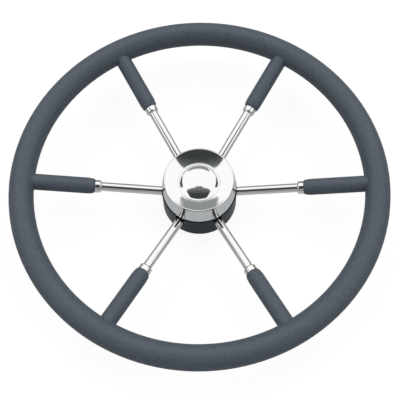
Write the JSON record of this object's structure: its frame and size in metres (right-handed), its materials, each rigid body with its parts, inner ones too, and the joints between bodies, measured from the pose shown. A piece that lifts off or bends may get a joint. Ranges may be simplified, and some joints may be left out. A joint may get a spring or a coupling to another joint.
{
  "type": "boat steering wheel",
  "caption": "Round boat steering wheel with coned polished rods, a soft dark covered rim with spoke sleeves, and a drum hub with a dished trim and domed cap.",
  "frame": {"origin": "centre of the hub's flat back, on the shaft axis", "axes": "+Z along the shaft axis towards the helmsman; +X below the first spoke"},
  "size_m": [0.5, 0.5, 0.0762],
  "materials": {
    "polished_stainless": "mirror-polished stainless steel",
    "turned_stainless": "as turned stainless steel",
    "soft_cover": "soft matte moulded polyurethane with a fine grain",
    "dark_moulding": "matte moulded plastic with a fine grain",
    "black_rubber": "smooth black rubber"
  },
  "bodies": {
    "root": {"rim_core": "turned_stainless", "rim_cover": "soft_cover", "spoke_1": "polished_stainless", "spoke_2": "polished_stainless", "spoke_3": "polished_stainless", "spoke_4": "polished_stainless", "spoke_5": "polished_stainless", "spoke_6": "polished_stainless", "ferrule_1": "polished_stainless", "ferrule_2": "polished_stainless", "ferrule_3": "polished_stainless", "ferrule_4": "polished_stainless", "ferrule_5": "polished_stainless", "ferrule_6": "polished_stainless", "hub_body": "turned_stainless", "hub_trim": "polished_stainless", "centre_cap": "polished_stainless", "cap_ring": "black_rubber", "trim_screws": "turned_stainless", "rear_cover": "dark_moulding", "rear_cover_screws": "turned_stainless"}
  },
  "joints": []
}
